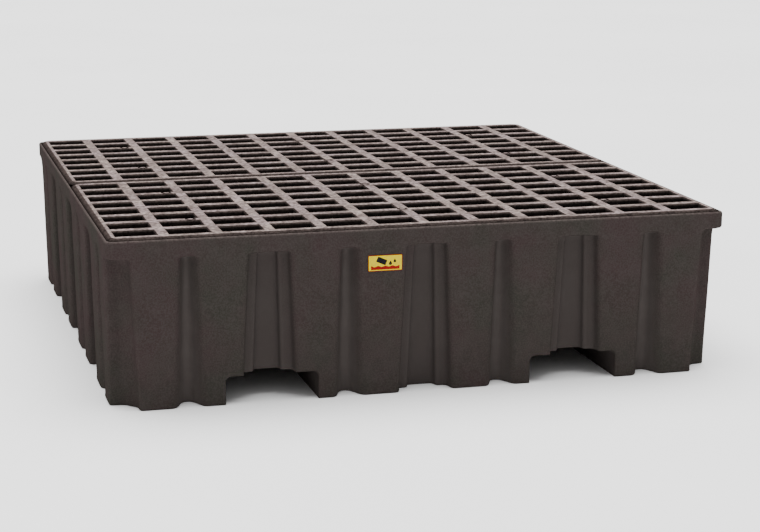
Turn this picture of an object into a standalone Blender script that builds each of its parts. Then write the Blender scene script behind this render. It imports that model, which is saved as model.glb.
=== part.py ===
"""Four-drum spill containment pallet: a one-piece plastic sump, two lift-off grates and a label.

Metres, +Z up. The pallet stands on z = 0, centred on the origin, and its front faces -Y.
"""
import math

import bmesh
import bpy
from mathutils import Matrix, Vector

# Overall envelope
HALF = 0.654
HEIGHT = 0.352
GAP = 0.0003
CUT_PAST = 0.010

# Sump shell
WALL = 0.005
FLOOR = 0.006
WALL_TOP = 0.3085
WALL_ROOT = 0.3175
LEDGE = 0.314
RIM_TOP = 0.3475
RIM_INNER = 0.6492
RIM_EDGE = 0.0035
RIM_CORNER = 0.028
RIM_BREAK = 0.001
RECESS_RADIUS = RIM_CORNER - (HALF - RIM_INNER)
BASIN_TAPER = 0.012
BASIN_PAST = 0.002
FACE_ROOT = 0.6538
FACE_TOP = 0.6525
FACE_BOTTOM = 0.6474

# Wall corrugation: distance between grooves, and which steps along a wall are narrow or wide
PITCH = 0.1639
NARROW_AT = (-3, -1, 1, 3)
WIDE_AT = (-2, 0, 2)

# Groove sections as half widths from the mouth inwards, then depths: top of wall, ground
NARROW_TOP = (0.0190, 0.0055, 0.033)
NARROW_BOTTOM = (0.0275, 0.0090, 0.042)
WIDE_TOP = (0.0420, 0.0390, 0.0200, 0.0180, 0.024, 0.040)
WIDE_BOTTOM = (0.0560, 0.0525, 0.0300, 0.0280, 0.031, 0.050)

# Notched and chamfered corner: where a face ends, where its step ends, and the step's depth
CORNER_TOP = (0.6070, 0.6090, 0.0265)
CORNER_BOTTOM = (0.5930, 0.5955, 0.0285)

# Fork pockets, front to back
POCKET_INNER = 0.227
POCKET_OUTER = 0.4190
POCKET_HEIGHT = 0.0585
POCKET_RADIUS = 0.012
POCKET_STEPS = 4
POCKET_PAST = 0.050

# Hollow posts moulded up from the floor under the grates
POST_X = (-0.500, 0.0, 0.500)
POST_Y = (-0.312, 0.0, 0.312)
POST_BASE = 0.060
POST_HEAD = 0.040
POST_ROUNDING = 0.35
POST_SINK = 0.004

# Grates
GRATE_HALF_X = 0.6485
GRATE_OUTER_Y = 0.6485
SEAM_HALF = 0.0035
GRATE_RADIUS = 0.024
SHOULDER = 0.0075
SHOULDER_STEPS = 3
OUTLINE_MARGIN = 0.002
FLAT_ANGLE = 0.001
COLUMNS = 12
ROWS = 8
SLOT_X = 0.0820
SLOT_Y = 0.0503
PITCH_X = 0.1070
PITCH_Y = 0.07695
SLOT_SEAM_Y = 0.0306
GRATE_SKIN = 0.006
CORE_HALF = 0.0080
CORE_MARGIN = 0.0055

# Label on the front wall
LABEL_CENTRE = (-0.0900, 0.2770)
LABEL_SIZE = (0.0715, 0.0330)
LABEL_THICK = 0.0008
LABEL_RADIUS = 0.002
LABEL_STEPS = 3


def clear_scene():
    for obj in list(bpy.data.objects):
        bpy.data.objects.remove(obj, do_unlink=True)


def material(name, colour, roughness):
    mat = bpy.data.materials.new(name)
    mat.use_nodes = True
    shader = mat.node_tree.nodes["Principled BSDF"]
    shader.inputs["Base Color"].default_value = (*colour, 1.0)
    shader.inputs["Roughness"].default_value = roughness
    shader.inputs["Metallic"].default_value = 0.0
    mat.diffuse_color = (*colour, 1.0)
    return mat


def mesh_object(name, verts, faces, mat=None):
    mesh = bpy.data.meshes.new(name)
    mesh.from_pydata([tuple(v) for v in verts], [], faces)
    mesh.validate()
    obj = bpy.data.objects.new(name, mesh)
    bpy.context.scene.collection.objects.link(obj)
    bm = bmesh.new()
    bm.from_mesh(mesh)
    bmesh.ops.recalc_face_normals(bm, faces=bm.faces)
    bm.to_mesh(mesh)
    bm.free()
    if mat is not None:
        mesh.materials.append(mat)
    return obj


def boolean(obj, tool, operation):
    tool.hide_render = True
    tool.display_type = "WIRE"
    mod = obj.modifiers.new(operation.title() + "_" + tool.name, "BOOLEAN")
    mod.operation = operation
    mod.solver = "EXACT"
    mod.object = tool
    return mod


def loft(name, rings, mat=None):
    """Closed solid through rings of points with equal counts."""
    count = len(rings[0])
    verts = [point for ring in rings for point in ring]
    faces = []
    for level in range(len(rings) - 1):
        low = level * count
        high = low + count
        for i in range(count):
            j = (i + 1) % count
            faces.append((low + i, low + j, high + j, high + i))
    faces.append(tuple(reversed(range(count))))
    faces.append(tuple(range(len(verts) - count, len(verts))))
    return mesh_object(name, verts, faces, mat)


def blend(low, high, share):
    return tuple(a + (b - a) * share for a, b in zip(low, high))


def side_points(half, share, wall):
    """One wall from its left corner to its right one, as (along, outward) pairs."""
    narrow = blend(NARROW_TOP, NARROW_BOTTOM, share)
    wide = blend(WIDE_TOP, WIDE_BOTTOM, share)
    face_end, step_end, step_depth = blend(CORNER_TOP, CORNER_BOTTOM, share)
    points = [(wall - step_end, step_depth), (wall - face_end, 0.0)]
    for step in sorted(NARROW_AT + WIDE_AT):
        centre = step * PITCH
        if step in NARROW_AT:
            mouth, foot, depth = narrow
            section = [(-mouth - wall, 0.0), (-foot - wall, depth)]
        else:
            mouth, shelf, deep_out, deep_in, depth_1, depth_2 = wide
            section = [(-mouth - wall, 0.0), (-shelf - wall, depth_1)]
            section += [(-deep_out - wall, depth_1), (-deep_in - wall, depth_2)]
        section += [(-along, depth) for along, depth in reversed(section)]
        points += [(centre + along, depth) for along, depth in section]
    points += [(face_end - wall, 0.0), (step_end - wall, step_depth)]
    return [(along, half - wall - depth) for along, depth in points]


def wall_ring(z, half, share, wall):
    """Plan outline of the corrugated walls at one height."""
    side = side_points(half, share, wall)
    ring = []
    for turn in range(4):
        rot = Matrix.Rotation(turn * math.pi / 2, 3, "Z")
        ring += [rot @ Vector((along, -out, 0.0)) for along, out in side]
    return [(p.x, p.y, z) for p in ring]


def rounded_rect(half_x, half_y, radius, z, steps=5):
    ring = []
    corners = ((1, 1, 0), (-1, 1, 1), (-1, -1, 2), (1, -1, 3))
    for sx, sy, quarter in corners:
        for step in range(steps + 1):
            angle = (quarter + step / steps) * math.pi / 2
            x = sx * (half_x - radius) + radius * math.cos(angle)
            y = sy * (half_y - radius) + radius * math.sin(angle)
            ring.append((x, y, z))
    return ring


def rim_block(name, mat):
    """Square band round the top, its outer edges rounded over."""
    levels = ((WALL_TOP, RIM_EDGE), (WALL_TOP + RIM_BREAK, RIM_BREAK))
    levels += ((WALL_TOP + RIM_EDGE, 0.0), (RIM_TOP - RIM_EDGE, 0.0))
    levels += ((RIM_TOP - RIM_BREAK, RIM_BREAK), (RIM_TOP, RIM_EDGE))
    rings = [rounded_rect(HALF - back, HALF - back, RIM_CORNER, z) for z, back in levels]
    return loft(name, rings, mat)


def frustum(centre, base, head, z0, z1):
    """Rings of a rounded square post, wide at the foot."""
    rings = []
    for half, z in ((base, z0), (head, z1)):
        ring = rounded_rect(half, half, half * POST_ROUNDING, z, 1)
        rings.append([(x + centre[0], y + centre[1], z) for x, y, z in ring])
    return rings


def joined(name, solids):
    """One hidden tool made of several separate closed solids."""
    bm = bmesh.new()
    for obj in solids:
        bm.from_mesh(obj.data)
    mesh = bpy.data.meshes.new(name)
    bm.to_mesh(mesh)
    bm.free()
    for obj in solids:
        bpy.data.objects.remove(obj, do_unlink=True)
    tool = bpy.data.objects.new(name, mesh)
    bpy.context.scene.collection.objects.link(tool)
    return tool


def posts(name, shrink, z0, z1):
    solids = []
    for x in POST_X:
        for y in POST_Y:
            rings = frustum((x, y), POST_BASE - shrink, POST_HEAD - shrink, z0, z1)
            solids.append(loft("post", rings))
    return joined(name, solids)


def pocket_prism(side, grow, reach, z0):
    """Fork pocket section, rounded at the ceiling, run front to back."""
    inner = POCKET_INNER - grow
    outer = POCKET_OUTER + grow
    top = POCKET_HEIGHT + grow
    radius = POCKET_RADIUS + grow
    outline = [(inner, z0), (outer, z0)]
    for step in range(POCKET_STEPS + 1):
        angle = step / POCKET_STEPS * math.pi / 2
        x = outer - radius + radius * math.cos(angle)
        outline.append((x, top - radius + radius * math.sin(angle)))
    for step in range(POCKET_STEPS + 1):
        angle = (1 + step / POCKET_STEPS) * math.pi / 2
        x = inner + radius + radius * math.cos(angle)
        outline.append((x, top - radius + radius * math.sin(angle)))
    rings = [[(side * x, y, z) for x, z in outline] for y in (-reach, reach)]
    return loft("pocket", rings)


def pockets(name, grow, reach, z0):
    return joined(name, [pocket_prism(side, grow, reach, z0) for side in (-1, 1)])


def build_basin():
    """Liquid space: the inside of the walls less the pocket roofs and the posts."""
    lean = (FACE_TOP - FACE_BOTTOM) / WALL_TOP
    low_half = FACE_BOTTOM + lean * FLOOR
    high_half = FACE_TOP - lean * BASIN_TAPER
    high_share = BASIN_TAPER / WALL_TOP
    rings = [wall_ring(FLOOR, low_half, 1.0 - FLOOR / WALL_TOP, WALL)]
    rings.append(wall_ring(WALL_TOP - BASIN_TAPER, high_half, high_share, WALL))
    rings.append(wall_ring(WALL_TOP, RIM_INNER + WALL, 0.0, WALL))
    rings.append(wall_ring(LEDGE + BASIN_PAST, RIM_INNER + WALL, 0.0, WALL))
    basin = loft("basin", rings)
    boolean(basin, pockets("pocket_roofs", WALL, HALF + CUT_PAST, -CUT_PAST), "DIFFERENCE")
    boolean(basin, posts("post_walls", 0.0, -POST_SINK, LEDGE), "DIFFERENCE")
    return basin


def build_sump(mat):
    rings = [wall_ring(0.0, FACE_BOTTOM, 1.0, 0.0)]
    rings.append(wall_ring(WALL_TOP, FACE_TOP, 0.0, 0.0))
    rings.append(wall_ring(WALL_ROOT, FACE_ROOT, 0.0, 0.0))
    sump = loft("sump", rings, mat)
    boolean(sump, rim_block("rim_band", mat), "UNION")
    boolean(sump, build_basin(), "DIFFERENCE")
    levels = (LEDGE, HEIGHT + CUT_PAST)
    recess = [rounded_rect(RIM_INNER, RIM_INNER, RECESS_RADIUS, z) for z in levels]
    boolean(sump, loft("grate_recess", recess), "DIFFERENCE")
    boolean(sump, pockets("pocket_spaces", 0.0, HALF + POCKET_PAST, -POCKET_PAST), "DIFFERENCE")
    boolean(sump, posts("post_hollows", WALL, -CUT_PAST, LEDGE - WALL), "DIFFERENCE")
    return sump


def slot_ranges(first, pitch, width, count):
    return [(first + index * pitch, first + index * pitch + width) for index in range(count)]


def in_any(value, ranges):
    return any(low < value < high for low, high in ranges)


def core_ranges(slots, low_limit, high_limit):
    """Channels left under the bars between neighbouring slots and along the borders."""
    ranges = [(low_limit + CORE_MARGIN, slots[0][0] - CORE_MARGIN)]
    for left, right in zip(slots[:-1], slots[1:]):
        middle = (left[1] + right[0]) / 2
        ranges.append((middle - CORE_HALF, middle + CORE_HALF))
    ranges.append((slots[-1][1] + CORE_MARGIN, high_limit - CORE_MARGIN))
    return ranges


def grate_cells(x_slots, y_slots, low, high, z_levels):
    """Surface of the grate as quads between filled and empty cells."""
    x_cores = core_ranges(x_slots, low[0], high[0])
    y_cores = core_ranges(y_slots, low[1], high[1])
    xs = sorted({low[0], high[0], *[e for r in x_slots + x_cores for e in r]})
    ys = sorted({low[1], high[1], *[e for r in y_slots + y_cores for e in r]})

    def filled(i, j, k):
        if not (0 <= i < len(xs) - 1 and 0 <= j < len(ys) - 1 and 0 <= k < len(z_levels) - 1):
            return False
        x = (xs[i] + xs[i + 1]) / 2
        y = (ys[j] + ys[j + 1]) / 2
        if in_any(x, x_slots) and in_any(y, y_slots):
            return False
        cored = in_any(x, x_cores) or in_any(y, y_cores)
        inside = xs[0] + CORE_MARGIN < x < xs[-1] - CORE_MARGIN
        inside = inside and ys[0] + CORE_MARGIN < y < ys[-1] - CORE_MARGIN
        return not (cored and inside and k == 0)

    steps = ((1, 0, 0), (-1, 0, 0), (0, 1, 0), (0, -1, 0), (0, 0, 1), (0, 0, -1))
    verts = {}
    faces = []
    for i in range(len(xs) - 1):
        for j in range(len(ys) - 1):
            for k in range(len(z_levels) - 1):
                if not filled(i, j, k):
                    continue
                for di, dj, dk in steps:
                    if filled(i + di, j + dj, k + dk):
                        continue
                    faces.append(cell_face(i, j, k, (di, dj, dk), verts))
    points = [None] * len(verts)
    for (i, j, k), index in verts.items():
        points[index] = (xs[i], ys[j], z_levels[k])
    return points, faces


def cell_face(i, j, k, step, verts):
    axis = [abs(part) for part in step].index(1)
    offset = 1 if step[axis] > 0 else 0
    corners = []
    for a, b in ((0, 0), (1, 0), (1, 1), (0, 1)):
        cell = [i, j, k]
        others = [n for n in range(3) if n != axis]
        cell[axis] += offset
        cell[others[0]] += a
        cell[others[1]] += b
        corners.append(verts.setdefault(tuple(cell), len(verts)))
    return tuple(corners)


def grate_outline(name, facing):
    """Plan outline of a grate, its top edges rounded over to a shoulder."""
    middle = facing * (SEAM_HALF + GRATE_OUTER_Y) / 2
    half_y = (GRATE_OUTER_Y - SEAM_HALF) / 2
    levels = [(LEDGE - CUT_PAST, 0.0)]
    for step in range(SHOULDER_STEPS + 1):
        angle = step / SHOULDER_STEPS * math.pi / 2
        drop = SHOULDER * (1 - math.sin(angle))
        levels.append((HEIGHT - drop, SHOULDER * (1 - math.cos(angle))))
    levels.append((HEIGHT + CUT_PAST, SHOULDER))
    rings = []
    for z, back in levels:
        ring = rounded_rect(GRATE_HALF_X - back, half_y - back, GRATE_RADIUS - back, z)
        rings.append([(x, y + middle, z) for x, y, z in ring])
    return loft(name, rings)


def build_grate(name, facing, mat):
    """Half of the deck; facing is -1 for the front one and 1 for the rear one."""
    first_x = -(COLUMNS * PITCH_X - (PITCH_X - SLOT_X)) / 2
    x_slots = slot_ranges(first_x, PITCH_X, SLOT_X, COLUMNS)
    y_slots = slot_ranges(SLOT_SEAM_Y, PITCH_Y, SLOT_Y, ROWS)
    low = (-GRATE_HALF_X - OUTLINE_MARGIN, SEAM_HALF - OUTLINE_MARGIN)
    high = (GRATE_HALF_X + OUTLINE_MARGIN, GRATE_OUTER_Y + OUTLINE_MARGIN)
    z_levels = (LEDGE + GAP, HEIGHT - GRATE_SKIN, HEIGHT)
    points, faces = grate_cells(x_slots, y_slots, low, high, z_levels)
    points = [(x, facing * y, z) for x, y, z in points]
    grate = mesh_object(name, points, faces, mat)
    bm = bmesh.new()
    bm.from_mesh(grate.data)
    bmesh.ops.dissolve_limit(bm, angle_limit=FLAT_ANGLE, verts=bm.verts, edges=bm.edges)
    bm.to_mesh(grate.data)
    bm.free()
    boolean(grate, grate_outline(name + "_outline", facing), "INTERSECT")
    return grate


def build_label(mat):
    """Thin plate lying on the sloping panel face, with the usual small gap."""
    lean = math.atan2(FACE_TOP - FACE_BOTTOM, WALL_TOP)
    x, z = LABEL_CENTRE
    face_y = -(FACE_BOTTOM + (FACE_TOP - FACE_BOTTOM) * z / WALL_TOP)
    rings = []
    for depth in (GAP, GAP + LABEL_THICK):
        ring = rounded_rect(LABEL_SIZE[0] / 2, LABEL_SIZE[1] / 2, LABEL_RADIUS, depth, LABEL_STEPS)
        rings.append([Vector((px, -pz, py)) for px, py, pz in ring])
    tilt = Matrix.Rotation(lean, 3, "X")
    place = Vector((x, face_y, z))
    rings = [[tuple(tilt @ point + place) for point in ring] for ring in rings]
    return loft("label", rings, mat)


def main():
    clear_scene()
    sump_plastic = material("sump_plastic", (0.055, 0.046, 0.042), 0.55)
    grate_plastic = material("grate_plastic", (0.075, 0.062, 0.058), 0.60)
    label_film = material("label_film", (0.85, 0.58, 0.05), 0.40)
    build_sump(sump_plastic)
    build_grate("front_grate", -1, grate_plastic)
    build_grate("rear_grate", 1, grate_plastic)
    build_label(label_film)


main()
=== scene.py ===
"""Looks of the four-drum spill pallet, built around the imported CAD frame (metres, +Z up)."""
import math

import bmesh
import bpy
from mathutils import Matrix, Vector, noise


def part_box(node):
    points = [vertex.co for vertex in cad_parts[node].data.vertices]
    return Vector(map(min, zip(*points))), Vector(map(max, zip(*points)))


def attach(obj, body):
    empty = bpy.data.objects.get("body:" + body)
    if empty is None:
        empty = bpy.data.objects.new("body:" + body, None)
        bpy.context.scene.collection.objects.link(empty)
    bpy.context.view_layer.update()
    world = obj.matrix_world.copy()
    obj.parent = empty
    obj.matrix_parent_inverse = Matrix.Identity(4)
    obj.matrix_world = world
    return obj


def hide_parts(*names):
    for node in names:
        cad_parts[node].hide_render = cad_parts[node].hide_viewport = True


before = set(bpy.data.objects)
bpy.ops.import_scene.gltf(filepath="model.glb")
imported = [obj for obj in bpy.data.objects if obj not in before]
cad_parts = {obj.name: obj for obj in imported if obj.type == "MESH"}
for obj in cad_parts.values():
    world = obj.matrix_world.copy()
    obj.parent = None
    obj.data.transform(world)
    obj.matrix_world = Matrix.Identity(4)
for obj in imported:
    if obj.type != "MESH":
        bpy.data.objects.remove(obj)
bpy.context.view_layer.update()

# Sizes that the frame gives
SUMP_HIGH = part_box("sump")[1]
GRATE_LOW, GRATE_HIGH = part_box("rear_grate")
HALF = SUMP_HIGH.x
RIM_TOP = SUMP_HIGH.z
DECK = GRATE_HIGH.z
GRATE_FOOT = GRATE_LOW.z
GRATE_HALF_X = GRATE_HIGH.x
GRATE_OUTER_Y = GRATE_HIGH.y
SEAM_HALF = GRATE_LOW.y

# Cutting tools run past what they cut, and touching pieces keep a small gap
CUT_PAST = 0.010
TOP_PAST = 0.002
GAP = 0.0003
FLAT_ANGLE = 0.001

# Sump shell
WALL = 0.005
FLOOR = 0.006
WALL_TOP = 0.3085
LEDGE = GRATE_FOOT - GAP
RIM_WIDTH = 0.0048
FACE_TOP = 0.6525
FACE_BOTTOM = 0.6474
LEAN = (FACE_TOP - FACE_BOTTOM) / WALL_TOP
SEAT = HALF - RIM_WIDTH + WALL
RIM_CORNER = 0.032
RECESS_CORNER = 0.027

# Grooves along a wall: odd steps are narrow, even ones wide
PITCH = 0.1639
GROOVE_STEPS = range(-3, 4)

# Groove sections as half widths from the mouth inwards, then depths: top of wall, ground
NARROW_TOP = (0.0190, 0.0055, 0.033)
NARROW_BOTTOM = (0.0275, 0.0090, 0.042)
WIDE_TOP = (0.0420, 0.0390, 0.0200, 0.0180, 0.024, 0.040)
WIDE_BOTTOM = (0.0560, 0.0525, 0.0300, 0.0280, 0.031, 0.050)

# Notched and chamfered corner: where a face ends, where its step ends, and the step's depth
CORNER_TOP = (0.6070, 0.6090, 0.0265)
CORNER_BOTTOM = (0.5930, 0.5955, 0.0285)
CORNER_SPREAD = 0.012

# Plan rounding: how far an arc reaches from its corner, and at most which share of a straight
EDGE_ROUND = 0.0110
CORNER_ROUND = 0.0075
ARC_SHARE = 0.45
ARC_STEPS = 5
STRAIGHT_STEP = 0.018

# Waviness of the moulded walls: waves per metre across and up, and how deep
SLOW_WAVE = (5.0, 6.0)
FAST_WAVE = (16.0, 14.0)
FAST_SHIFT = 7.0
FAST_SHARE = 0.5
WALL_WAVE = 0.0011
RIM_WAVE = 0.0004
INSIDE_WAVE = -0.0006

# Outside of the sump, from the ground up
FOOT_ROUND = ((0.0, 0.0030), (0.0006, 0.0014), (0.0030, 0.0))  # height, inset
WALL_LEVELS = 12
WALL_FROM = 0.012
WALL_TO = WALL_TOP - 0.018
BAND_ROUND = (  # rise above the wall's top, share of the plain square, half width
    (-0.0120, 0.00, 0.6523),
    (-0.0070, 0.03, 0.6526),
    (-0.0030, 0.10, 0.6529),
    (-0.0005, 0.25, 0.6531),
    (0.0010, 0.55, 0.6533),
    (0.0022, 0.80, 0.6535),
    (0.0045, 0.95, 0.6537),
    (0.0080, 1.00, 0.6539),
)
BAND_RISES = (0.0120, 0.0170, 0.0220, 0.0270)
LIP_ROUND = (  # drop below the rim's top, inset
    (0.0045, 0.0),
    (0.0033, 0.0002),
    (0.0018, 0.0009),
    (0.0007, 0.0020),
    (0.0, 0.0034),
)

# Inside of the sump, from the floor up
FLOOR_ROUND = ((0.0, 0.0030), (0.0008, 0.0014), (0.0022, 0.0005), (0.0060, 0.0))  # rise, inset
INSIDE_LEVELS = (0.060, 0.120, 0.180, 0.240, WALL_TOP - 0.012)
LEDGE_ROUND = ((-0.0016, 0.0), (-0.0004, 0.05), (0.0, 0.97), (0.0018, 1.0))  # rise, share of the square
MOUTH_ROUND = (  # drop below the rim's top, inset
    (0.0040, 0.0),
    (0.0018, -0.0001),
    (0.0006, -0.0005),
    (-0.0004, -0.0012),
    (-0.004, -0.0013),
)

# Fork pockets and posts
POCKET_INNER = 0.227
POCKET_OUTER = 0.4190
POCKET_HEIGHT = 0.0585
POCKET_RADIUS = 0.012
POCKET_STEPS = 6
POCKET_FOOT = -0.050
POCKET_FACE = FACE_BOTTOM + 0.0008
POCKET_PAST = 0.060
POCKET_FLARE = 0.003
POCKET_FLARE_STEPS = 5
ROOF_WALL = 0.0047
ROOF_FOOT = -0.040
ROOF_REACH = 0.70
POST_X = (-0.500, 0.0, 0.500)
POST_Y = (-0.312, 0.0, 0.312)
POST_BASE = 0.060
POST_HEAD = 0.040
POST_ROUNDING = 0.38
POST_FLARE = ((0.0, 0.006), (0.0012, 0.0025), (0.0035, 0.0008), (0.0070, 0.0))  # rise, growth
HEAD_ROUND = 0.004
HEAD_ARC = ((1.0, 0.0), (0.45, 0.2), (0.12, 0.55), (0.0, 1.0))  # drop and inset, in HEAD_ROUND
POST_SINK = 0.0005

# Grates
COLUMNS = 12
ROWS = 8
SLOT_X = 0.0820
SLOT_Y = 0.0503
PITCH_X = 0.1070
PITCH_Y = 0.07695
SLOT_SEAM_Y = 0.0306
GRATE_SKIN = 0.006
CORE_HALF = 0.0080
CORE_MARGIN = 0.0055
OUTLINE_MARGIN = 0.002
GRATE_RADIUS = 0.024
SHOULDER_BACK = 0.0120
SHOULDER_DROP = 0.0080
SHOULDER_STEPS = 7
OUTLINE_STEPS = 8
SLOT_EDGE = 0.0008
SLOT_EDGE_ANGLE = math.radians(40)
FLARE_X = 0.0030
FLARE_Y = 0.0056
FLARE_DEPTH = 0.0046
FLARE_STEPS = 4
FLARE_OVERLAP = 0.0002
MARK_X = (-0.457, -0.005, 0.449)
MARK_ROWS = (2, 6)
MARK_RING = (0.0058, 0.0118)
MARK_DEPTH = 0.0020

# Label on the front wall: a tipped drum, two drops and a pool, placed from its centre
LABEL_SIZE = (0.0715, 0.0330)
LABEL_CENTRE = (-0.0900, 0.2770)
LABEL_THICK = 0.0008
LABEL_RADIUS = 0.002
LABEL_EDGE = 0.0001
LABEL_BORDER = 0.0011
GROUND_RADIUS = LABEL_RADIUS - 0.0008
INK = 0.00008
DRUM_CENTRE = (-0.0075, 0.0045)
DRUM_HALF = (0.0105, 0.0056)
DRUM_RADIUS = 0.0014
DRUM_TIP = math.radians(-24)
DROPS = (((0.0110, -0.0015), 0.0034), ((0.0200, 0.0030), 0.0028))  # centre, size
DROP_STEPS = 24
DROP_POINT = 1.9
DROP_WAIST = (0.45, 0.55)
POOL_HALF = 0.0300
POOL_LOW = -0.0135
POOL_HIGH = -0.0068
POOL_SWING = 0.0010
POOL_WAVES = 4
WAVE_STEPS = 12


# ---------------------------------------------------------------- mesh helpers

def new_object(name, bm):
    mesh = bpy.data.meshes.new(name)
    bm.to_mesh(mesh)
    bm.free()
    obj = bpy.data.objects.new(name, mesh)
    bpy.context.scene.collection.objects.link(obj)
    return obj


def loft(name, rings):
    """Closed solid through rings of points with equal counts."""
    bm = bmesh.new()
    rows = [[bm.verts.new(point) for point in ring] for ring in rings]
    count = len(rows[0])
    for low, high in zip(rows[:-1], rows[1:]):
        for i in range(count):
            j = (i + 1) % count
            bm.faces.new((low[i], low[j], high[j], high[i]))
    bm.faces.new(tuple(reversed(rows[0])))
    bm.faces.new(tuple(rows[-1]))
    bmesh.ops.recalc_face_normals(bm, faces=bm.faces)
    return new_object(name, bm)


def apply_modifiers(obj):
    """Turns the object's modifiers into plain mesh."""
    graph = bpy.context.evaluated_depsgraph_get()
    mesh = bpy.data.meshes.new_from_object(obj.evaluated_get(graph))
    old = obj.data
    obj.modifiers.clear()
    obj.data = mesh
    bpy.data.meshes.remove(old)
    mesh.name = obj.name
    return obj


def cut(obj, tool, operation="DIFFERENCE"):
    mod = obj.modifiers.new("cut", "BOOLEAN")
    mod.operation = operation
    mod.solver = "EXACT"
    mod.object = tool
    apply_modifiers(obj)
    bpy.data.objects.remove(tool, do_unlink=True)
    return obj


def joined(name, solids):
    bm = bmesh.new()
    for obj in solids:
        bm.from_mesh(obj.data)
        bpy.data.objects.remove(obj, do_unlink=True)
    return new_object(name, bm)


def smooth(obj, angle=35.0):
    obj.data.shade_smooth()
    obj.data.set_sharp_from_angle(angle=math.radians(angle))
    mod = obj.modifiers.new("normals", "WEIGHTED_NORMAL")
    mod.keep_sharp = True
    apply_modifiers(obj)


def blend(low, high, share):
    return tuple(a + (b - a) * share for a, b in zip(low, high))


# ---------------------------------------------------------------- sump

def side_points(half, share, wall):
    """One wall from its left corner to its right one, as (along, outward) pairs."""
    narrow = blend(NARROW_TOP, NARROW_BOTTOM, share)
    wide = blend(WIDE_TOP, WIDE_BOTTOM, share)
    face_end, step_end, step_depth = blend(CORNER_TOP, CORNER_BOTTOM, share)
    middle = (half - step_depth + step_end) / 2
    points = [(wall - middle, half - middle), (wall - step_end, step_depth)]
    points.append((wall - face_end, 0.0))
    for step in GROOVE_STEPS:
        if step % 2:
            mouth, foot, depth = narrow
            section = [(-mouth - wall, 0.0), (-foot - wall, depth)]
        else:
            mouth, shelf, deep_out, deep_in, depth_1, depth_2 = wide
            section = [(-mouth - wall, 0.0), (-shelf - wall, depth_1)]
            section += [(-deep_out - wall, depth_1), (-deep_in - wall, depth_2)]
        section += [(-along, depth) for along, depth in reversed(section)]
        points += [(step * PITCH + along, depth) for along, depth in section]
    points += [(face_end - wall, 0.0), (step_end - wall, step_depth)]
    return [(along, half - wall - depth) for along, depth in points]


def flat_points(half, share, wall):
    """The same points pushed out to a plain square wall."""
    side = side_points(half, share, wall)
    outer = half - wall
    flat = [(along, outer) for along, out in side]
    flat[0] = (-outer, outer)
    flat[1] = (flat[2][0] - CORNER_SPREAD, outer)
    flat[-1] = (flat[-2][0] + CORNER_SPREAD, outer)
    return flat


def round_plan(side, counts, plan_corner):
    """Full plan outline of four such walls, with its corners rounded."""
    corners = []
    for turn in range(4):
        rot = Matrix.Rotation(turn * math.pi / 2, 2)
        corners += [rot @ Vector((along, -out)) for along, out in side]
    per_side = len(side)
    total = len(corners)
    points = []
    for index, corner in enumerate(corners):
        before = corners[index - 1] - corner
        after = corners[(index + 1) % total] - corner
        place = index % per_side
        size = EDGE_ROUND
        if place == 0:
            size = plan_corner
        elif place in (1, 2, per_side - 2, per_side - 1):
            size = CORNER_ROUND
        start = corner + before.normalized() * min(size, before.length * ARC_SHARE)
        end = corner + after.normalized() * min(size, after.length * ARC_SHARE)
        for step in range(ARC_STEPS + 1):
            t = step / ARC_STEPS
            point = start * (1 - t) ** 2 + corner * 2 * t * (1 - t) + end * t ** 2
            points.append(point)
        following = corners[(index + 1) % total]
        stop = following - after.normalized() * min(EDGE_ROUND, after.length * ARC_SHARE)
        pieces = counts[index % per_side]
        for step in range(1, pieces):
            points.append(end + (stop - end) * (step / pieces))
    return points


def straight_counts(side):
    """How many pieces each straight stretch of the outline is split into."""
    counts = []
    for index, point in enumerate(side):
        if index + 1 < len(side):
            following = side[index + 1]
        else:
            following = (-side[0][0], side[0][1])
        length = math.dist(point, following)
        counts.append(max(1, round(length / STRAIGHT_STEP)))
    return counts


COUNTS = straight_counts(side_points(FACE_BOTTOM, 1.0, 0.0))


def wobble(point, z, amount):
    """Slow waviness of a moulded wall, all to one side of its plane."""
    across, up = SLOW_WAVE
    wave = noise.noise(Vector((point.x * across, point.y * across, z * up)))
    across, up = FAST_WAVE
    wave += FAST_SHARE * noise.noise(Vector((point.x * across, point.y * across, z * up + FAST_SHIFT)))
    return amount * min(1.0, max(0.0, (1.0 + wave) / 2))


def ring(z, half, share, wall, flat=0.0, inset=0.0, wave=0.0):
    """Outline at one height; flat 1 is the plain square, inset moves it inwards."""
    plan_corner = RECESS_CORNER if wall else RIM_CORNER
    points = round_plan(side_points(half, share, wall), COUNTS, plan_corner)
    if flat > 0.0:
        square = round_plan(flat_points(half, share, wall), COUNTS, plan_corner)
        points = [a.lerp(b, flat) for a, b in zip(points, square)]
    if inset or wave:
        total = len(points)
        moved = []
        for i, point in enumerate(points):
            along = points[(i + 1) % total] - points[i - 1]
            outward = Vector((along.y, -along.x)).normalized()
            moved.append(point - outward * (inset + wobble(point, z, wave)))
        points = moved
    return [(p.x, p.y, z) for p in points]


def wall_ring(z, wall, inset=0.0, wave=0.0):
    """Outline of the leaning walls at one height, or of their inside if wall is their thickness."""
    return ring(z, FACE_BOTTOM + LEAN * z, 1.0 - z / WALL_TOP, wall, inset=inset, wave=wave)


def outer_rings():
    """Outside of the walls and the rim, from the ground up."""
    rings = []
    for z, inset in FOOT_ROUND:
        rings.append(wall_ring(z, 0.0, inset=inset))
    for step in range(WALL_LEVELS):
        z = WALL_FROM + (WALL_TO - WALL_FROM) * step / (WALL_LEVELS - 1)
        rings.append(wall_ring(z, 0.0, wave=WALL_WAVE))
    for rise, flat, half in BAND_ROUND:
        rings.append(ring(WALL_TOP + rise, half, 0.0, 0.0, flat=flat, wave=RIM_WAVE))
    for rise in BAND_RISES:
        rings.append(ring(WALL_TOP + rise, HALF, 0.0, 0.0, flat=1.0, wave=RIM_WAVE))
    for drop, inset in LIP_ROUND:
        rings.append(ring(RIM_TOP - drop, HALF, 0.0, 0.0, flat=1.0, inset=inset))
    return rings


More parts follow.
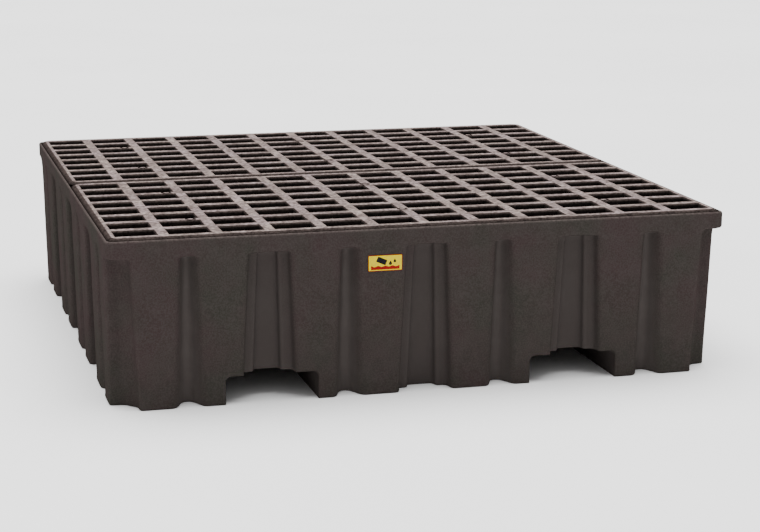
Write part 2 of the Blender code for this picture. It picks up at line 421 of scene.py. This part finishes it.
def inner_rings():
    """Liquid space and grate recess, from the floor up to above the rim."""
    rings = []
    for rise, inset in FLOOR_ROUND:
        rings.append(wall_ring(FLOOR + rise, WALL, inset=inset))
    for z in INSIDE_LEVELS:
        rings.append(wall_ring(z, WALL, wave=INSIDE_WAVE))
    rings.append(ring(WALL_TOP, SEAT, 0.0, WALL))
    for rise, flat in LEDGE_ROUND:
        rings.append(ring(LEDGE + rise, SEAT, 0.0, WALL, flat=flat))
    for drop, inset in MOUTH_ROUND:
        rings.append(ring(RIM_TOP - drop, SEAT, 0.0, WALL, flat=1.0, inset=inset))
    return rings


def rounded_rect(half_x, half_y, radius, z, steps=6):
    points = []
    for sx, sy, quarter in ((1, 1, 0), (-1, 1, 1), (-1, -1, 2), (1, -1, 3)):
        for step in range(steps + 1):
            angle = (quarter + step / steps) * math.pi / 2
            x = sx * (half_x - radius) + radius * math.cos(angle)
            y = sy * (half_y - radius) + radius * math.sin(angle)
            points.append((x, y, z))
    return points


def post_rings(x, y, levels):
    rings = []
    for z, half in levels:
        plan = rounded_rect(half, half, half * POST_ROUNDING, z)
        rings.append([(px + x, py + y, pz) for px, py, pz in plan])
    return rings


def post_levels(shrink, low, high):
    """Heights and half widths of a post, flared at the foot and rounded at the head."""
    def half_at(z):
        return POST_BASE + (POST_HEAD - POST_BASE) * z / LEDGE - shrink

    levels = [(low + rise, half_at(low + rise) + grow) for rise, grow in POST_FLARE]
    for drop, inset in HEAD_ARC:
        z = high - drop * HEAD_ROUND
        levels.append((z, half_at(z) - inset * HEAD_ROUND))
    return levels


def posts(name, levels):
    return joined(name, [loft("post", post_rings(x, y, levels)) for x in POST_X for y in POST_Y])


def pocket_outline(grow, z0):
    """Section of one pocket in X and Z, its ceiling corners round."""
    inner = POCKET_INNER - grow
    outer = POCKET_OUTER + grow
    top = POCKET_HEIGHT + grow
    radius = POCKET_RADIUS + grow
    points = [(inner, z0), (outer, z0)]
    for middle, start in ((outer - radius, 0.0), (inner + radius, math.pi / 2)):
        for step in range(POCKET_STEPS + 1):
            angle = start + step / POCKET_STEPS * math.pi / 2
            points.append((middle + radius * math.cos(angle), top - radius + radius * math.sin(angle)))
    return points


def pocket_prism(name, side, stations, foot):
    """Solid through pocket sections at stations of (Y, growth)."""
    rings = [[(side * x, y, z) for x, z in pocket_outline(grow, foot)] for y, grow in stations]
    return loft(name, rings)


def pocket_tool(side):
    """Fork pocket space; its mouths flare to round the wall's edge."""
    stations = [(POCKET_FACE + POCKET_PAST, POCKET_FLARE), (POCKET_FACE, POCKET_FLARE)]
    for step in range(1, POCKET_FLARE_STEPS + 1):
        reach = POCKET_FLARE * math.sin(step / POCKET_FLARE_STEPS * math.pi / 2)
        stations.append((POCKET_FACE - reach, POCKET_FLARE - reach))
    stations += [(-y, grow) for y, grow in reversed(stations)]
    return pocket_prism("pocket_tool", side, stations, POCKET_FOOT)


def pocket_roof(side):
    """The plastic over a fork pocket, as what it takes from the liquid space."""
    stations = [(y, ROOF_WALL) for y in (-ROOF_REACH, ROOF_REACH)]
    return pocket_prism("pocket_roof", side, stations, ROOF_FOOT)


def build_sump(mat):
    basin = loft("basin", inner_rings())
    cut(basin, joined("roofs", [pocket_roof(-1), pocket_roof(1)]))
    cut(basin, posts("post_walls", post_levels(0.0, FLOOR - POST_SINK, LEDGE)))
    sump = loft("sump_shell", outer_rings())
    cut(sump, basin)
    cut(sump, joined("pockets", [pocket_tool(-1), pocket_tool(1)]))
    cut(sump, posts("hollows", post_levels(WALL, -POST_SINK, LEDGE - WALL)))
    smooth(sump)
    sump.data.materials.clear()
    sump.data.materials.append(mat)
    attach(sump, "sump")
    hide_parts("sump")
    return sump


# ---------------------------------------------------------------- grates

def slot_ranges(first, pitch, width, count):
    return [(first + index * pitch, first + index * pitch + width) for index in range(count)]


def in_any(value, ranges):
    return any(low < value < high for low, high in ranges)


def core_ranges(slots, low_limit, high_limit):
    """Channels left under the bars between neighbouring slots and along the borders."""
    ranges = [(low_limit + CORE_MARGIN, slots[0][0] - CORE_MARGIN)]
    for left, right in zip(slots[:-1], slots[1:]):
        middle = (left[1] + right[0]) / 2
        ranges.append((middle - CORE_HALF, middle + CORE_HALF))
    ranges.append((slots[-1][1] + CORE_MARGIN, high_limit - CORE_MARGIN))
    return ranges


def slot_grid():
    """Where the rear grate's slots begin and end in X, and in Y."""
    first_x = -(COLUMNS * PITCH_X - (PITCH_X - SLOT_X)) / 2
    x_slots = slot_ranges(first_x, PITCH_X, SLOT_X, COLUMNS)
    return x_slots, slot_ranges(SLOT_SEAM_Y, PITCH_Y, SLOT_Y, ROWS)


def grate_block():
    """Rear grate as a clean block mesh: slots right through, channels under the bars."""
    x_slots, y_slots = slot_grid()
    side = GRATE_HALF_X + OUTLINE_MARGIN
    near = SEAM_HALF - OUTLINE_MARGIN
    far = GRATE_OUTER_Y + OUTLINE_MARGIN
    x_cores = core_ranges(x_slots, -side, side)
    y_cores = core_ranges(y_slots, near, far)
    xs = sorted({-side, side, *[e for r in x_slots + x_cores for e in r]})
    ys = sorted({near, far, *[e for r in y_slots + y_cores for e in r]})
    zs = (GRATE_FOOT, DECK - GRATE_SKIN, DECK)

    def filled(i, j, k):
        if not (0 <= i < len(xs) - 1 and 0 <= j < len(ys) - 1 and 0 <= k < len(zs) - 1):
            return False
        x = (xs[i] + xs[i + 1]) / 2
        y = (ys[j] + ys[j + 1]) / 2
        if in_any(x, x_slots) and in_any(y, y_slots):
            return False
        inside = x_cores[0][0] < x < x_cores[-1][1] and y_cores[0][0] < y < y_cores[-1][1]
        cored = in_any(x, x_cores) or in_any(y, y_cores)
        return not (k == 0 and cored and inside)

    bm = bmesh.new()
    verts = {}

    def vert(i, j, k):
        if (i, j, k) not in verts:
            verts[i, j, k] = bm.verts.new((xs[i], ys[j], zs[k]))
        return verts[i, j, k]

    for i in range(len(xs) - 1):
        for j in range(len(ys) - 1):
            for k in range(len(zs) - 1):
                if filled(i, j, k):
                    add_cell(bm, vert, filled, i, j, k)
    bmesh.ops.recalc_face_normals(bm, faces=bm.faces)
    bmesh.ops.dissolve_limit(bm, angle_limit=FLAT_ANGLE, verts=bm.verts, edges=bm.edges)
    return bm


def add_cell(bm, vert, filled, i, j, k):
    """Faces of one filled cell towards its empty neighbours."""
    for axis in range(3):
        for offset in (0, 1):
            step = [0, 0, 0]
            step[axis] = 2 * offset - 1
            if filled(i + step[0], j + step[1], k + step[2]):
                continue
            others = [n for n in range(3) if n != axis]
            loop = []
            for a, b in ((0, 0), (1, 0), (1, 1), (0, 1)):
                cell = [i, j, k]
                cell[axis] += offset
                cell[others[0]] += a
                cell[others[1]] += b
                loop.append(vert(*cell))
            bm.faces.new(loop)


def grate_outline():
    """Plan outline of the rear grate, its top edges rounded over to a shoulder."""
    middle = (SEAM_HALF + GRATE_OUTER_Y) / 2
    half_y = (GRATE_OUTER_Y - SEAM_HALF) / 2
    levels = [(GRATE_FOOT - CUT_PAST, 0.0)]
    for step in range(SHOULDER_STEPS + 1):
        angle = step / SHOULDER_STEPS * math.pi / 2
        drop = SHOULDER_DROP * (1 - math.sin(angle))
        levels.append((DECK - drop, SHOULDER_BACK * (1 - math.cos(angle))))
    levels.append((DECK + CUT_PAST, SHOULDER_BACK))
    rings = []
    for z, back in levels:
        plan = rounded_rect(GRATE_HALF_X - back, half_y - back, GRATE_RADIUS - back, z, OUTLINE_STEPS)
        rings.append([(x, y + middle, z) for x, y, z in plan])
    return loft("outline", rings)


def slot_flares():
    """Tools that round over the top edges of every slot in the rear grate."""
    x_slots, y_slots = slot_grid()
    solids = []
    for x_range in x_slots:
        for y_range in y_slots:
            x, y = sum(x_range) / 2, sum(y_range) / 2
            rings = []
            for step in range(FLARE_STEPS + 1):
                angle = step / FLARE_STEPS * math.pi / 2
                grow = 1 - math.cos(angle)
                half_x = SLOT_X / 2 - FLARE_OVERLAP + FLARE_X * grow
                half_y = SLOT_Y / 2 - FLARE_OVERLAP + FLARE_Y * grow
                z = DECK - FLARE_DEPTH * (1 - math.sin(angle))
                rings.append(rectangle(x, y, half_x, half_y, z))
            rings.append(rectangle(x, y, half_x, half_y, DECK + TOP_PAST))
            solids.append(loft("flare", rings))
    return joined("flares", solids)


def rectangle(x, y, half_x, half_y, z):
    return [(x + sx * half_x, y + sy * half_y, z) for sx, sy in ((1, 1), (-1, 1), (-1, -1), (1, -1))]


def tube(x, y, radii, z0, z1, steps=32):
    """Ring-shaped tool between two radii."""
    bm = bmesh.new()
    rows = []
    for radius, z in ((radii[0], z0), (radii[1], z0), (radii[1], z1), (radii[0], z1)):
        turn = [2 * math.pi * step / steps for step in range(steps)]
        rows.append([bm.verts.new((x + radius * math.cos(a), y + radius * math.sin(a), z)) for a in turn])
    for row, following in zip(rows, rows[1:] + rows[:1]):
        for i in range(steps):
            j = (i + 1) % steps
            bm.faces.new((row[i], row[j], following[j], following[i]))
    bmesh.ops.recalc_face_normals(bm, faces=bm.faces)
    return new_object("mark", bm)


def gate_marks():
    """Round sunken marks left where the plastic was injected, six on each grate."""
    solids = []
    for x in MARK_X:
        for row in MARK_ROWS:
            y = SLOT_SEAM_Y + row * PITCH_Y - (PITCH_Y - SLOT_Y) / 2
            solids.append(tube(x, y, MARK_RING, DECK - MARK_DEPTH, DECK + TOP_PAST))
    return joined("marks", solids)


def build_grate(name, facing, mat):
    """One grate, made as the rear one and mirrored if facing is -1."""
    grate = new_object(name + "_moulding", grate_block())
    cut(grate, grate_outline(), "INTERSECT")
    cut(grate, slot_flares())
    cut(grate, gate_marks())
    if facing < 0:
        grate.data.transform(Matrix.Diagonal((1, -1, 1, 1)))
        grate.data.flip_normals()
    mod = grate.modifiers.new("edges", "BEVEL")
    mod.width = SLOT_EDGE
    mod.segments = 2
    mod.limit_method = "ANGLE"
    mod.angle_limit = SLOT_EDGE_ANGLE
    mod.use_clamp_overlap = True
    apply_modifiers(grate)
    smooth(grate)
    grate.data.materials.clear()
    grate.data.materials.append(mat)
    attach(grate, name)
    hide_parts(name)
    return grate


# ---------------------------------------------------------------- label

def label_point(across, up, depth):
    """A point on the sloping front face, given from the label's centre."""
    x, z = LABEL_CENTRE
    face_y = -(FACE_BOTTOM + LEAN * z)
    tilt = Matrix.Rotation(math.atan(LEAN), 3, "X")
    return tilt @ Vector((across, -depth, up)) + Vector((x, face_y, z))


def film_piece(name, outline, low, high, mat, edge=0.0):
    """Thin printed or cut shape on the label; its front edge may be rounded."""
    levels = [(low, 0.0), (high - edge, 0.0)]
    if edge:
        levels.append((high, edge))
    rings = []
    middle = Vector((sum(p[0] for p in outline), sum(p[1] for p in outline))) / len(outline)
    for depth, back in levels:
        points = []
        for across, up in outline:
            inwards = (middle - Vector((across, up))).normalized() * back
            points.append(label_point(across + inwards.x, up + inwards.y, depth))
        rings.append(points)
    obj = loft(name, rings)
    obj.data.materials.append(mat)
    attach(obj, "sump")
    return obj


def flat_rounded(centre, half_x, half_y, radius, turn=0.0):
    """Rounded rectangle outline in the label's plane."""
    spin = Matrix.Rotation(turn, 2)
    points = [Vector((x, y)) for x, y, z in rounded_rect(half_x, half_y, radius, 0.0, 5)]
    return [tuple(spin @ p + Vector(centre)) for p in points]


def drop_outline(centre, size):
    """Liquid drop with its point up."""
    x, y = centre
    belly, neck = DROP_WAIST
    points = []
    for step in range(DROP_STEPS):
        angle = 2 * math.pi * step / DROP_STEPS
        across = math.cos(angle)
        up = math.sin(angle)
        if up >= 0:
            across *= belly * math.cos(angle) ** 2 + neck * (1 - math.sin(angle))
            up *= DROP_POINT
        points.append((x + size * across, y + size * up))
    return points


def wave_outline(half_x, low, high, swing, waves):
    """Band whose top edge is a row of waves."""
    steps = waves * WAVE_STEPS
    top = []
    for step in range(steps + 1):
        share = step / steps
        x = half_x - 2 * half_x * share
        top.append((x, high + swing * math.cos(2 * math.pi * waves * share)))
    return [(-half_x, low), (half_x, low)] + top


def build_label():
    yellow = film("label_yellow", (0.62, 0.490, 0.001), (0.56, 0.430, 0.001))
    black = film("label_black", (0.004, 0.004, 0.005), (0.008, 0.007, 0.009))
    red = film("label_red", (0.24, 0.0035, 0.0030), (0.20, 0.0030, 0.0025))
    half_x, half_y = LABEL_SIZE[0] / 2, LABEL_SIZE[1] / 2
    face = GAP + LABEL_THICK - 2 * INK
    outer = flat_rounded((0, 0), half_x, half_y, LABEL_RADIUS)
    plate = film_piece("label_plate", outer, GAP, face - INK, red, LABEL_EDGE)
    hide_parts("label")
    inner = flat_rounded((0, 0), half_x - LABEL_BORDER, half_y - LABEL_BORDER, GROUND_RADIUS)
    film_piece("label_ground", inner, face - 1.5 * INK, face, yellow)
    ink = (face - 0.5 * INK, face + INK)
    drum = flat_rounded(DRUM_CENTRE, *DRUM_HALF, DRUM_RADIUS, DRUM_TIP)
    film_piece("label_drum", drum, *ink, black)
    for place, size in DROPS:
        film_piece("label_drop", drop_outline(place, size), *ink, black)
    pool = wave_outline(POOL_HALF, POOL_LOW, POOL_HIGH, POOL_SWING, POOL_WAVES)
    film_piece("label_pool", pool, *ink, red)


# ---------------------------------------------------------------- materials

class Graph:
    """Short hand for adding nodes to one material."""

    def __init__(self, name):
        self.mat = bpy.data.materials.new(name)
        self.mat.use_nodes = True
        self.nodes = self.mat.node_tree.nodes
        self.links = self.mat.node_tree.links
        self.shader = self.nodes["Principled BSDF"]
        self.coords = self.nodes.new("ShaderNodeTexCoord").outputs["Object"]

    def put(self, socket, value):
        """Links a socket, or sets its constant."""
        if isinstance(value, bpy.types.NodeSocket):
            self.links.new(value, socket)
        else:
            socket.default_value = value

    def mapped(self, scale):
        node = self.nodes.new("ShaderNodeMapping")
        node.inputs["Scale"].default_value = scale
        self.links.new(self.coords, node.inputs["Vector"])
        return node.outputs["Vector"]

    def noise(self, scale, detail=4.0, rough=0.55, stretch=None, distortion=0.0):
        node = self.nodes.new("ShaderNodeTexNoise")
        node.inputs["Scale"].default_value = scale
        node.inputs["Detail"].default_value = detail
        node.inputs["Roughness"].default_value = rough
        node.inputs["Distortion"].default_value = distortion
        vector = self.mapped(stretch) if stretch else self.coords
        self.links.new(vector, node.inputs["Vector"])
        return node.outputs["Fac"]

    def ramp(self, value, low, high, out_low=0.0, out_high=1.0):
        """Value spread from one range over another, and held at its ends."""
        node = self.nodes.new("ShaderNodeMapRange")
        node.inputs["From Min"].default_value = low
        node.inputs["From Max"].default_value = high
        node.inputs["To Min"].default_value = out_low
        node.inputs["To Max"].default_value = out_high
        self.links.new(value, node.inputs["Value"])
        return node.outputs["Result"]

    def math(self, operation, a, b=0.5):
        node = self.nodes.new("ShaderNodeMath")
        node.operation = operation
        self.put(node.inputs[0], a)
        self.put(node.inputs[1], b)
        return node.outputs["Value"]

    def mix(self, factor, a, b):
        node = self.nodes.new("ShaderNodeMix")
        node.data_type = "RGBA"
        self.put(node.inputs["Factor"], factor)
        self.put(node.inputs["A"], a)
        self.put(node.inputs["B"], b)
        return node.outputs["Result"]

    def bump(self, height, strength, distance, normal=None):
        node = self.nodes.new("ShaderNodeBump")
        node.inputs["Strength"].default_value = strength
        node.inputs["Distance"].default_value = distance
        self.links.new(height, node.inputs["Height"])
        if normal is not None:
            self.links.new(normal, node.inputs["Normal"])
        return node.outputs["Normal"]

    def facing_up(self, low, high):
        """1 on faces that look up, 0 on upright ones."""
        geometry = self.nodes.new("ShaderNodeNewGeometry")
        split = self.nodes.new("ShaderNodeSeparateXYZ")
        self.links.new(geometry.outputs["Normal"], split.inputs["Vector"])
        return self.ramp(split.outputs["Z"], low, high)

    def place(self, axis):
        split = self.nodes.new("ShaderNodeSeparateXYZ")
        self.links.new(self.coords, split.inputs["Vector"])
        return split.outputs[axis]


def sump_plastic():
    """Black polyethylene: olive and maroon casts, fine grain, faint scuffs, paler groove colour as
    painted fill light, painted highlight on the rim's lip, painted shade inside.
    """
    olive, maroon = (0.0274, 0.0262, 0.0222, 1), (0.0350, 0.0240, 0.0240, 1)
    blotched, rubbed = (0.0430, 0.0357, 0.0338, 1), (0.0440, 0.0385, 0.0360, 1)
    # lip colour: painted highlight on the rim's lip
    grained, lip_highlight_colour = (0.0590, 0.0500, 0.0470, 1), (0.0850, 0.0690, 0.0640, 1)
    # wide and narrow groove colours: painted fill light, paler than the panels
    wide_groove_fill, narrow_groove_fill = (0.0550, 0.0465, 0.0440, 1), (0.0840, 0.0720, 0.0675, 1)
    # inside colour: painted shade for the sump's inside
    inside_shade_colour = (0.0085, 0.0072, 0.0069, 1)
    g = Graph("sump_polyethylene")
    cast = g.ramp(g.noise(7.0, 5.0, 0.6), 0.36, 0.64)
    base = g.mix(cast, olive, maroon)
    blotch = g.ramp(g.noise(30.0, 6.0, 0.6), 0.42, 0.72)
    base = g.mix(g.math("MULTIPLY", blotch, 0.40), base, blotched)
    rubs = g.ramp(g.noise(9.0, 8.0, 0.68, (1.0, 1.0, 3.5), 0.6), 0.64, 0.80)
    base = g.mix(g.math("MULTIPLY", rubs, 0.16), base, rubbed)
    grain = g.ramp(g.noise(330.0, 3.0, 0.7), 0.40, 0.62)
    base = g.mix(g.math("MULTIPLY", grain, 0.45), base, grained)
    # paler colour painted into the grooves as painted fill light that lifts their shade, most in the
    # narrow ones
    outwards = g.math("MAXIMUM", g.math("ABSOLUTE", g.place("X")), g.math("ABSOLUTE", g.place("Y")))
    groove_fill = g.ramp(outwards, HALF - 0.008, HALF - 0.038)
    groove_fill = g.math("MULTIPLY", groove_fill, g.ramp(g.noise(24.0, 5.0), 0.3, 0.7, 0.75, 1.0))
    along = g.math("MINIMUM", g.math("ABSOLUTE", g.place("X")), g.math("ABSOLUTE", g.place("Y")))
    groove_fill = g.math("MULTIPLY", groove_fill, g.ramp(along, HALF - 0.069, HALF - 0.084))
    narrow = g.ramp(g.math("PINGPONG", along, PITCH), PITCH - 0.040, PITCH - 0.024)
    base = g.mix(groove_fill, base, g.mix(narrow, wide_groove_fill, narrow_groove_fill))
    # painted highlight: the rim's lip is painted paler where its rounded edge catches light, mottled by
    # noise
    lip_highlight = g.ramp(g.place("Z"), RIM_TOP - 0.0045, RIM_TOP - 0.0005)
    lip_highlight = g.math("MULTIPLY", lip_highlight, g.ramp(g.noise(150.0, 6.0, 0.65), 0.40, 0.60, 0.10, 1.0))
    base = g.mix(g.math("MULTIPLY", lip_highlight, 0.75), base, lip_highlight_colour)
    # painted shade darkens the inside above the fork pockets
    above = g.ramp(g.place("Z"), POCKET_HEIGHT + 0.001, POCKET_HEIGHT + 0.060)
    inside_shade = g.math("MULTIPLY", g.ramp(outwards, HALF - 0.056, HALF - 0.064), above)
    base = g.mix(inside_shade, base, inside_shade_colour)
    g.put(g.shader.inputs["Base Color"], base)
    g.put(g.shader.inputs["Roughness"], g.ramp(g.noise(14.0, 6.0), 0.3, 0.7, 0.55, 0.70))
    g.shader.inputs["Specular IOR Level"].default_value = 0.0
    skin = g.bump(g.noise(420.0, 3.0, 0.6), 0.35, 0.0006)
    g.put(g.shader.inputs["Normal"], g.bump(g.noise(22.0, 3.0), 0.25, 0.0025, skin))
    return g.mat


def grate_plastic():
    """Same plastic, coarser skin; flat bar tops painted a pinkish grey, partly scuff wear and partly
    painted reflection; sides mottled brown, fading into painted shade below the top.
    """
    dark_brown, brown = (0.0120, 0.0092, 0.0084, 1), (0.0360, 0.0275, 0.0250, 1)
    # the black is painted shade for the sides below the top
    speck_colour, black = (0.0680, 0.0520, 0.0475, 1), (0.0016, 0.0013, 0.0012, 1)
    # beige and pink: pale bar tops, partly scuff wear and partly painted reflection
    beige, pink = (0.300, 0.244, 0.218, 1), (0.285, 0.226, 0.226, 1)
    dull, pit_colour = (0.140, 0.110, 0.102, 1), (0.082, 0.063, 0.059, 1)
    g = Graph("grate_polyethylene")
    tone = g.ramp(g.noise(60.0, 6.0, 0.65), 0.36, 0.64)
    base = g.mix(tone, dark_brown, brown)
    speck = g.ramp(g.noise(230.0, 5.0, 0.7), 0.44, 0.60)
    base = g.mix(g.math("MULTIPLY", speck, 0.55), base, speck_colour)
    # painted shade: the sides fade to black below the top, darker with depth
    depth = g.ramp(g.place("Z"), DECK - 0.0130, DECK - 0.0010)
    base = g.mix(g.math("POWER", depth, 1.6), black, base)
    # the flat tops are painted pale, partly scuff wear and partly painted reflection, with pits
    pits = g.ramp(g.noise(120.0, 6.0, 0.75), 0.38, 0.58)
    patch = g.ramp(g.noise(30.0, 6.0, 0.70), 0.38, 0.62)
    hue = g.ramp(g.noise(12.0, 4.0), 0.40, 0.60)
    wear_and_sheen = g.mix(patch, dull, g.mix(hue, beige, pink))
    wear_and_sheen = g.mix(pits, pit_colour, wear_and_sheen)
    at_top = g.ramp(g.place("Z"), DECK - 0.0025, DECK - 0.0006)
    base = g.mix(g.math("MULTIPLY", g.facing_up(0.985, 0.9998), at_top), base, wear_and_sheen)
    g.put(g.shader.inputs["Base Color"], base)
    g.put(g.shader.inputs["Roughness"], g.ramp(g.noise(60.0, 6.0), 0.3, 0.7, 0.55, 0.75))
    g.shader.inputs["Specular IOR Level"].default_value = 0.0
    skin = g.bump(g.noise(520.0, 3.0, 0.6), 0.45, 0.0007)
    g.put(g.shader.inputs["Normal"], g.bump(g.noise(75.0, 5.0), 0.30, 0.0018, skin))
    return g.mat


def film(name, colour, tint):
    """Printed label film: slight ink mottling and a smooth skin."""
    g = Graph(name)
    shade = g.ramp(g.noise(160.0, 4.0), 0.35, 0.7)
    g.put(g.shader.inputs["Base Color"], g.mix(shade, (*colour, 1), (*tint, 1)))
    g.put(g.shader.inputs["Roughness"], g.ramp(g.noise(300.0, 3.0), 0.3, 0.7, 0.42, 0.54))
    g.shader.inputs["Specular IOR Level"].default_value = 0.08
    g.put(g.shader.inputs["Normal"], g.bump(g.noise(240.0, 3.0), 0.10, 0.0003))
    return g.mat


# ---------------------------------------------------------------- stage

# Camera: place in metres, angles in degrees, lens and sensor in millimetres
CAMERA_AT = (-1.1204, -4.3507, 1.1215)
CAMERA_YAW = 15.41
CAMERA_PITCH = 12.50
CAMERA_ROLL = 0.25
LENS = 92.0368
SENSOR = 36.0
VIEW_DEPTH = 60.0

FLOOR_HALF = 30.0
SKY_STRENGTH = 0.70
SUN_STRENGTH = 7.0
SUN_WIDTH = 70.0
SUN_TILT = -8.5


def add_camera():
    data = bpy.data.cameras.new("camera")
    data.sensor_width = SENSOR
    data.lens = LENS
    data.clip_end = VIEW_DEPTH
    cam = bpy.data.objects.new("camera", data)
    bpy.context.scene.collection.objects.link(cam)
    turn = Matrix.Rotation(math.radians(-CAMERA_YAW), 4, "Z")
    tip = Matrix.Rotation(math.radians(90.0 - CAMERA_PITCH), 4, "X")
    roll = Matrix.Rotation(math.radians(CAMERA_ROLL), 4, "Z")
    cam.matrix_world = Matrix.Translation(CAMERA_AT) @ turn @ tip @ roll
    bpy.context.scene.camera = cam


def overhead_light():
    """Broad soft light from above and a little from the front, so that no hard shadow shows."""
    data = bpy.data.lights.new("overhead", "SUN")
    data.energy = SUN_STRENGTH
    data.angle = math.radians(SUN_WIDTH)
    obj = bpy.data.objects.new("overhead", data)
    bpy.context.scene.collection.objects.link(obj)
    obj.matrix_world = Matrix.Rotation(math.radians(SUN_TILT), 4, "X")


def add_stage():
    bm = bmesh.new()
    bmesh.ops.create_grid(bm, x_segments=8, y_segments=8, size=FLOOR_HALF)
    floor = new_object("floor", bm)
    g = Graph("floor_paper")
    tone = g.ramp(g.noise(0.8, 3.0), 0.3, 0.7)
    g.put(g.shader.inputs["Base Color"], g.mix(tone, (0.86, 0.86, 0.86, 1), (0.90, 0.90, 0.90, 1)))
    g.shader.inputs["Roughness"].default_value = 0.9
    floor.data.materials.append(g.mat)
    world = bpy.data.worlds.new("studio")
    world.use_nodes = True
    sky = world.node_tree.nodes["Background"]
    sky.inputs["Color"].default_value = (1, 1, 1, 1)
    sky.inputs["Strength"].default_value = SKY_STRENGTH
    bpy.context.scene.world = world
    overhead_light()


def main():
    build_sump(sump_plastic())
    grate = grate_plastic()
    build_grate("front_grate", -1, grate)
    build_grate("rear_grate", 1, grate)
    build_label()
    add_stage()
    add_camera()


main()
